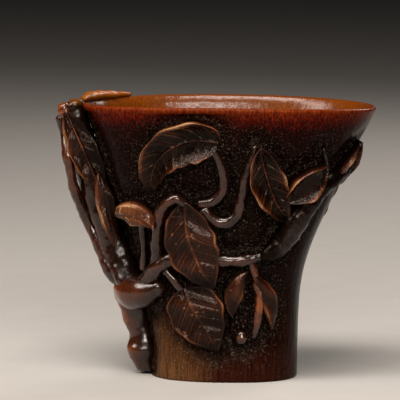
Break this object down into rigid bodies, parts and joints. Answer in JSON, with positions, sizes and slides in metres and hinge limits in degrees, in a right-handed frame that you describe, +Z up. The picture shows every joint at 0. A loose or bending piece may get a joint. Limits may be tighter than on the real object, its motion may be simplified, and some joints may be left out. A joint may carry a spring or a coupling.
{
  "type": "carved horn drinking cup",
  "caption": "Flaring oval drinking cup of polished horn on a solid foot, with a knotted trunk handle and leafy branches carved in high relief round the wall.",
  "frame": {"origin": "middle of the flat foot, on the surface that the cup stands on", "axes": "+Z up to the rim, +X along the long axis away from the handle, -Y towards the pictured front"},
  "size_m": [0.104, 0.0691, 0.0918],
  "materials": {
    "horn_body": "polished dark horn, amber at the thin rim, with fine upright fibres",
    "horn_branch": "polished horn, amber on the knots",
    "horn_leaf": "polished horn with cut veins"
  },
  "bodies": {
    "root": {"arch_branch": "horn_branch", "back_branch": "horn_branch", "back_lower_leaf": "horn_leaf", "back_side_leaf": "horn_leaf", "back_twig": "horn_branch", "back_upper_leaf": "horn_leaf", "blossom_bud": "horn_leaf", "blossom_rib": "horn_leaf", "centre_leaf": "horn_leaf", "cup_body": "horn_body", "curled_leaf": "horn_leaf", "curled_leaf_twig": "horn_branch", "edge_leaf": "horn_leaf", "fork_branch": "horn_branch", "handle_back_leaf": "horn_leaf", "handle_bud": "horn_leaf", "handle_knot": "horn_branch", "handle_limb": "horn_branch", "handle_lower_leaf": "horn_leaf", "handle_outer_twig": "horn_branch", "handle_trunk": "horn_branch", "handle_upper_leaf": "horn_leaf", "hood_leaf": "horn_leaf", "hood_stalk": "horn_branch", "left_petal": "horn_leaf", "lower_branch": "horn_branch", "lower_leaf": "horn_leaf", "lower_leaf_stalk": "horn_branch", "middle_branch": "horn_branch", "right_limb": "horn_branch", "right_petal": "horn_leaf", "right_pod": "horn_leaf", "right_twig": "horn_branch", "rim_leaf": "horn_leaf", "side_leaf": "horn_leaf", "upright_leaf": "horn_leaf"}
  },
  "joints": []
}
